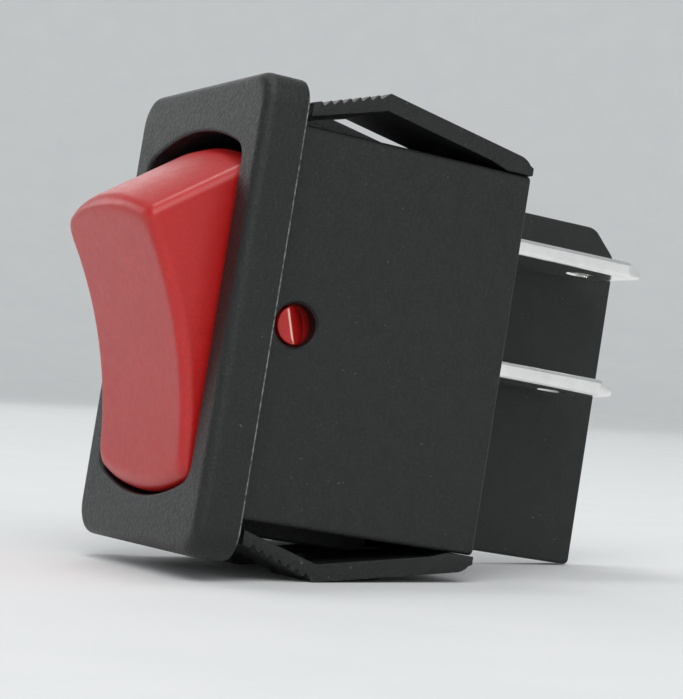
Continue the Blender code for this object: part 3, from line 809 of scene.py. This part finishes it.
def make_spring(look):
    """The plunger's coil spring."""
    count = SPRING_TURNS * SPRING_STEPS_PER_TURN
    low, high = SPRING_START + SPRING_WIRE, SPRING_END - SPRING_WIRE
    around = [2 * math.pi * k / SPRING_STEPS_AROUND for k in range(SPRING_STEPS_AROUND)]
    rearward = Vector((0, 1, 0))
    bm = bmesh.new()
    loops = []
    for i in range(count + 1):
        angle = 2 * math.pi * i / SPRING_STEPS_PER_TURN
        outward = Vector((math.cos(angle), 0, math.sin(angle)))
        centre = outward * SPRING_RADIUS + rearward * (low + (high - low) * i / count)
        loops.append([centre + SPRING_WIRE * (outward * math.cos(t) + rearward * math.sin(t))
                      for t in around])
    skin(bm, loops)
    spring = solid("plunger_coil", bm)
    spring.data.transform(Matrix.Translation(PIVOT) @ Matrix.Rotation(math.radians(TILT), 4, "X"))
    finish_piece(spring, "rocker", look, ["plunger_spring"])
    spring.modifiers.clear()  # the wire is smooth all round, so it needs no weighted normals
    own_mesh(spring)
    return spring


# ---------------------------------------------------------------- tabs and insert


def tab(tip, z):
    """The part of a tab outside the body: rounded edges, tapered corners and a coined tip."""
    half, taper = TAB_HALF_WIDTH, TAB_TAPER
    shoulder = tip - taper * TAB_TAPER_SLOPE
    outline = [(-half, TAB_START), (half, TAB_START), (half, shoulder), (half - taper, tip),
               (taper - half, tip), (-half, shoulder)]
    thick = TAB_THICKNESS / 2
    rounded = soften(outline, TAB_CORNER, 5)
    rows = [tip - TAB_COIN_LENGTH * (1 - k / TAB_COIN_ROWS) for k in range(TAB_COIN_ROWS + 1)]
    bm = pillow(rounded, -thick, thick, TAB_EDGE, flat_place, 5)
    for y in rows[:-1]:
        geometry = list(bm.verts) + list(bm.edges) + list(bm.faces)
        bmesh.ops.bisect_plane(bm, geom=geometry, plane_co=(0, y, 0), plane_no=(0, 1, 0), dist=1e-5)
    for vertex in bm.verts:
        along = max((vertex.co.y - rows[0]) / TAB_COIN_LENGTH, 0.0)
        vertex.co.z *= 1 - TAB_COIN_SHARE * along**2 * (3 - 2 * along)
    return shift(bm, (0, 0, z))


def tab_hole_cutter():
    """A cutter along Z for a tab's punched hole with eased rims."""
    half_thickness = TAB_THICKNESS / 2
    reach = half_thickness + OVERSHOOT
    flare = TAB_HOLE + TAB_HOLE_CHAMFER + (reach - half_thickness)
    rim = half_thickness - TAB_HOLE_CHAMFER
    profile = [(0, -reach), (flare, -reach), (TAB_HOLE, -rim), (TAB_HOLE, rim), (flare, reach), (0, reach)]
    bm = turned(profile, 56)
    bmesh.ops.rotate(bm, verts=bm.verts, cent=(0, 0, 0), matrix=Matrix.Rotation(math.pi / 2, 3, "X"))
    return bm


def make_load_tab(look):
    """Upper tab, bent down inside the body to carry the fixed contact."""
    z = LOAD_HIGH.z - TAB_THICKNESS / 2
    piece = solid("load_tab", tab(LOAD_HIGH.y, z))
    thin = NECK_THICKNESS / 2
    join(piece, rounded_block((-NECK_HALF_WIDTH, LOAD_LOW.y + 0.1, z - thin),
                              (NECK_HALF_WIDTH, TAB_START + NECK_OVERLAP, z + thin), NECK_EDGE))
    join(piece, rounded_block((-FLANGE_HALF_WIDTH, LOAD_LOW.y, LOAD_LOW.z),
                              (FLANGE_HALF_WIDTH, LOAD_LOW.y + TAB_THICKNESS, LOAD_HIGH.z), FLANGE_EDGE))
    hole = rod(RIVET_HOLE, -0.5, TAB_THICKNESS + 0.5)
    cut(piece, shift(hole, (0, LOAD_LOW.y, FIXED_CONTACT_Z)))
    cut(piece, shift(tab_hole_cutter(), (0, LOAD_HOLE_Y, z)))
    return finish_piece(piece, "housing", look, ["load_terminal"])


def make_common_tab(look):
    """Middle tab, forked in front to cradle the contact arm."""
    z = COMMON_HIGH.z - TAB_THICKNESS / 2
    piece = solid("common_tab", tab(COMMON_HIGH.y, z))
    thin = NECK_THICKNESS / 2
    join(piece, rounded_block((-NECK_HALF_WIDTH, COMMON_LOW.y, z - thin),
                              (NECK_HALF_WIDTH, TAB_START + NECK_OVERLAP, z + thin), NECK_EDGE))
    half, front = CRADLE_HALF_WIDTH, COMMON_LOW.y - 1
    outline = ((-half, front), (half, front), (half, CRADLE_FRONT), (-half, CRADLE_FRONT))
    mouth = bmesh.new()
    skin(mouth, [[(x, y, level) for x, y in outline] for level in (z - 1, z + 1)])
    cut(piece, mouth)
    cut(piece, shift(tab_hole_cutter(), (0, COMMON_HOLE_Y, z)))
    return finish_piece(piece, "housing", look, ["common_terminal"])


def barrier_wall():
    """The wall beside the tabs, with the root that ties it to the insert."""
    low, high, rear = BASE_LOW.z, BASE_HIGH.z, BASE_HIGH.y
    front = TAB_START
    outline = [(front, low), (rear, low), (rear, high - BARRIER_CHAMFER),
               (rear - BARRIER_CHAMFER, high), (front, high)]
    left = BARRIER_X - BARRIER_THICKNESS
    wall = pillow(soften(outline, BARRIER_CORNERS, 8), left, BARRIER_X, BARRIER_EDGE, upright_place)
    barrier = solid("barrier", wall)
    root_half = BASE_HALF_HEIGHT - BARRIER_ROOT
    join(barrier, rounded_block((left + 0.01, BASE_REAR - BARRIER_ROOT, -root_half),
                                (BARRIER_X - 0.01, front + BARRIER_ROOT, root_half), BARRIER_ROOT_EDGE))
    bm = bmesh.new()
    bm.from_mesh(barrier.data)
    bpy.data.objects.remove(barrier, do_unlink=True)
    return bm


def slot_cutter(z):
    """A cutter for one tab slot at height z, flared at the insert's rear face."""
    half_width, half_height = NECK_HALF_WIDTH + SLOT_CLEARANCE, NECK_THICKNESS / 2 + SLOT_CLEARANCE
    loops = []
    for y, flare in ((BASE_FRONT - 0.5, 0.0), (BASE_REAR - SLOT_CHAMFER, 0.0),
                     (BASE_REAR + 0.1, SLOT_CHAMFER + 0.1)):
        w, h = half_width + flare, half_height + flare
        loops.append([(-w, y, z - h), (w, y, z - h), (w, y, z + h), (-w, y, z + h)])
    bm = bmesh.new()
    skin(bm, loops)
    return bm


def make_insert(look):
    """The rear insert that closes the body: tab slots, barrier wall and a stop for the contact arm."""
    plate = rounded_block((-BASE_HALF_WIDTH, BASE_FRONT, -BASE_HALF_HEIGHT),
                          (BASE_HALF_WIDTH, BASE_REAR, BASE_HALF_HEIGHT), INSERT_EDGE)
    piece = solid("rear_insert", plate)
    join(piece, barrier_wall())
    join(piece, rounded_block((-ARM_STOP_HALF_WIDTH, BASE_LOW.y, ARM_STOP_LOW),
                              (ARM_STOP_HALF_WIDTH, BASE_FRONT + OVERSHOOT, ARM_STOP_HIGH), INSERT_EDGE))
    load_z, common_z = LOAD_HIGH.z - TAB_THICKNESS / 2, COMMON_HIGH.z - TAB_THICKNESS / 2
    for z in (load_z, common_z, -load_z):
        cut(piece, slot_cutter(z))
    mark_wear_and_highlight(piece, unworn)
    return finish_piece(piece, "housing", look, ["terminal_base"])


# ---------------------------------------------------------------- snap arms


def leaf_underside(y):
    """Height of the leaf's lower face at depth y."""
    peak = ARM_PEAK_Z - LEAF
    if y < ARM_PEAK_Y:
        return LEAF_TIP_Z + (peak - LEAF_TIP_Z) * (y - ARM_TIP_Y) / (ARM_PEAK_Y - ARM_TIP_Y)
    if y < LEAF_BEND_Y:
        return peak + (LEAF_BASE_Z - peak) * (y - ARM_PEAK_Y) / (LEAF_BEND_Y - ARM_PEAK_Y)
    share = min(max((y - LEAF_BEND_Y) / (FOOT_START - LEAF_BEND_Y), 0.0), 1.0)
    return LEAF_BASE_Z + (LEAF_FOOT_Z - LEAF_BASE_Z) * share**2 * (3 - 2 * share)


def leaf_rows():
    """(y, top z) points from the leaf's tip over its teeth and shoulder to its root."""
    rise = (ARM_PEAK_Z - ARM_TIP_Z) / (ARM_PEAK_Y - ARM_TIP_Y)
    rows = [(ARM_TIP_Y, ARM_TIP_Z)]
    pitch = (ARM_PEAK_Y - 0.1 - TEETH_START) / TEETH
    for i in range(TEETH):
        y = TEETH_START + pitch * i
        z = ARM_TIP_Z + rise * (y - ARM_TIP_Y)
        rows += [(y, z), (y + pitch * 0.3, z - TOOTH_DEPTH)]
    rows.append((ARM_PEAK_Y, ARM_PEAK_Z))
    bend = SHOULDER_RADIUS
    centre = (ARM_ROOT_Y - bend, ARM_SHOULDER_Z - bend)
    fall = math.degrees(math.atan2(ARM_PEAK_Z - ARM_SHOULDER_Z, centre[0] - ARM_PEAK_Y))
    shoulder = arc(centre, bend, 90 - fall, SHOULDER_END_ANGLE, 7)
    slope = (shoulder[0][1] - ARM_PEAK_Z) / (shoulder[0][0] - ARM_PEAK_Y)
    rows += [(y, ARM_PEAK_Z + slope * (y - ARM_PEAK_Y)) for y in LEAF_ROWS]
    return rows + shoulder[:-1] + [(ARM_ROOT_Y, shoulder[-1][1])]


def leaf_shape():
    """The top arm: a forked leaf with teeth, a rounded gap end and broken edges."""
    rows = leaf_rows()
    columns = (-BODY_HALF_WIDTH, -FORK_HALF_GAP, FORK_HALF_GAP, BODY_HALF_WIDTH)
    bm = bmesh.new()
    top = [[bm.verts.new((x, y, z)) for x in columns] for y, z in rows]
    low = [[bm.verts.new((x, y, leaf_underside(y))) for x in columns] for y, _ in rows]
    fork = next(i for i, (y, _) in enumerate(rows) if y == FORK_END)
    for i in range(len(rows) - 1):
        for c in range(3):
            if c == 1 and i < fork:
                continue
            bm.faces.new((top[i][c], top[i][c + 1], top[i + 1][c + 1], top[i + 1][c]))
            bm.faces.new((low[i][c], low[i + 1][c], low[i + 1][c + 1], low[i][c + 1]))
        walls = (0, 1, 2, 3) if i < fork else (0, 3)
        for c in walls:
            bm.faces.new((top[i][c], top[i + 1][c], low[i + 1][c], low[i][c]))
    for i, spans in ((0, (0, 2)), (fork, (1,)), (len(rows) - 1, (0, 1, 2))):
        for c in spans:
            bm.faces.new((top[i][c], low[i][c], low[i][c + 1], top[i][c + 1]))
    bmesh.ops.recalc_face_normals(bm, faces=bm.faces)
    gap_corners = [edge for edge in bm.edges if all(at_fork_corner(vertex.co) for vertex in edge.verts)
                   and abs(edge.verts[0].co.x - edge.verts[1].co.x) < 1e-4]
    bmesh.ops.bevel(bm, geom=gap_corners, offset=FORK_CORNER, offset_type="OFFSET", segments=5,
                    profile=0.5, affect="EDGES")
    crisp = [edge for edge in bm.edges
             if len(edge.link_faces) == 2 and edge.calc_face_angle() > math.radians(28)]
    bmesh.ops.bevel(bm, geom=crisp, offset=LEAF_EDGE, offset_type="OFFSET", segments=2,
                    profile=0.5, affect="EDGES", clamp_overlap=True)
    return bm


def make_snap_arm(name, node, up, look):
    """A forked leaf that grips the panel's edge; up is 1 on top and -1 below."""
    bm = leaf_shape()
    if up < 0:
        bmesh.ops.scale(bm, vec=(1, 1, -1), verts=bm.verts)
    piece = solid(name, bm)
    mark_wear_and_highlight(piece, worn_tooth)
    return finish_piece(piece, node, look, [node])


def at_fork_corner(place):
    """True on the two upright lines where the fork's gap ends."""
    return abs(place.y - FORK_END) < 1e-4 and abs(abs(place.x) - FORK_HALF_GAP) < 1e-4


def worn_tooth(place):
    """Slight wear on a snap arm's teeth."""
    rise = (ARM_PEAK_Z - ARM_TIP_Z) / (ARM_PEAK_Y - ARM_TIP_Y)
    tooth_line = ARM_TIP_Z + rise * (place.y - ARM_TIP_Y)
    on_tooth = TEETH_START < place.y < ARM_PEAK_Y and abs(place.z) > tooth_line - 0.04
    return TOOTH_WEAR if on_tooth else 0.0


# ---------------------------------------------------------------- studio


def make_stage():
    """A pale paper sweep: flat under the switch and curving up all round.

    The switch rests on its lower snap arm and the barrier's lower rear corner, so the sweep is
    tilted to touch both.
    """
    contact_front = Vector((0, ARM_PEAK_Y, -ARM_PEAK_Z))
    contact_rear = Vector((0, BASE_HIGH.y, BASE_LOW.z))
    lean = math.atan2(contact_rear.z - contact_front.z, contact_rear.y - contact_front.y)
    flat_steps = range(1, SWEEP_FLAT_STEPS + 1)
    profile = [(SWEEP_FLAT * k / SWEEP_FLAT_STEPS, 0.0) for k in flat_steps]
    climb = [math.radians(SWEEP_STEP_DEGREES * k) for k in range(1, SWEEP_BEND_STEPS + 1)]
    profile += [(SWEEP_FLAT + SWEEP_BEND * math.sin(a), SWEEP_BEND * (1 - math.cos(a))) for a in climb]
    bm = bmesh.new()
    angles = [2 * math.pi * i / SWEEP_SEGMENTS for i in range(SWEEP_SEGMENTS)]
    rings = join_loops(bm, [[(r * math.cos(a), r * math.sin(a), z) for a in angles] for r, z in profile])
    fan(bm, rings[0], (0, 0, 0))
    sweep = solid("paper_sweep", bm)
    under_contact = Matrix.Translation(contact_front - Vector((0, 0, SWEEP_SINK)))
    sweep.data.transform(under_contact @ Matrix.Rotation(lean, 4, "X"))
    sweep.data.transform(Matrix.Scale(MM, 4))
    sweep.data.shade_smooth()
    sweep.data.materials.append(studio_paper())


def aim(obj, place, target, roll=0.0):
    """Puts a camera or light at place, looking at target, both in millimetres."""
    direction = Vector(target) - Vector(place)
    level = direction.to_track_quat("-Z", "Y").to_matrix()
    obj.location = Vector(place) * MM
    obj.rotation_mode = "QUATERNION"
    obj.rotation_quaternion = (level @ Matrix.Rotation(math.radians(roll), 3, "Z")).to_quaternion()


def make_camera():
    """A long lens low beside the switch's right-hand front."""
    data = bpy.data.cameras.new("camera")
    data.sensor_width = CAMERA_SENSOR
    data.lens = CAMERA_LENS
    data.clip_start, data.clip_end = CAMERA_CLIP
    camera = bpy.data.objects.new("camera", data)
    bpy.context.scene.collection.objects.link(camera)
    aim(camera, CAMERA_PLACE, CAMERA_TARGET, CAMERA_ROLL)
    bpy.context.scene.camera = camera


def softbox(name, place, width, height, power):
    """A white rectangular light aimed at the switch."""
    data = bpy.data.lights.new(name, "AREA")
    data.shape = "RECTANGLE"
    data.size, data.size_y = width * MM, height * MM
    data.energy = power
    light = bpy.data.objects.new(name, data)
    bpy.context.scene.collection.objects.link(light)
    aim(light, place, LIGHT_TARGET)


def make_studio():
    """Floor, camera, soft lights and a faint sky."""
    make_stage()
    make_camera()
    for light in SOFTBOXES:
        softbox(*light)
    world = bpy.data.worlds.new("studio")
    world.use_nodes = True
    sky = world.node_tree.nodes["Background"]
    sky.inputs["Color"].default_value = SKY_COLOUR
    sky.inputs["Strength"].default_value = SKY_STRENGTH
    bpy.context.scene.world = world
    bpy.context.scene.view_settings.view_transform = "Standard"


def dress_carried_nodes():
    """Gives the CAD's own plunger, contact arm and contacts their materials."""
    carried = {
        "plunger": white_acetal(),
        "contact_arm": strip_metal("copper_strip", COPPER, 0.24, 0.42, "z"),
        "moving_contact": strip_metal("silver_moving", SILVER, 0.16, 0.34, "x"),
        "fixed_contact": strip_metal("silver_fixed", SILVER, 0.16, 0.34, "z"),
    }
    for node, look in carried.items():
        mesh = frame["nodes"][node].data
        mesh.materials.clear()
        mesh.materials.append(look)
        mesh.shade_smooth()
        mesh.set_sharp_from_angle(angle=math.radians(35))


def main():
    """Builds the studio and every piece."""
    make_studio()
    black = black_plastic("black_nylon_pitted", BODY_BLACK, 0.36, 0.52, 0.034)
    insert_black = black_plastic("black_insert_fine", INSERT_BLACK, 0.46, 0.58, 0.020)
    tin = bright_tin()
    make_housing(black)
    make_rocker(red_plastic())
    make_spring(strip_metal("spring_wire", STEEL, 0.2, 0.36, "y"))
    make_load_tab(tin)
    make_common_tab(tin)
    make_insert(insert_black)
    make_snap_arm("top_snap_leaf", "top_snap_arm", 1, black)
    make_snap_arm("bottom_snap_leaf", "bottom_snap_arm", -1, black)
    dress_carried_nodes()


main()
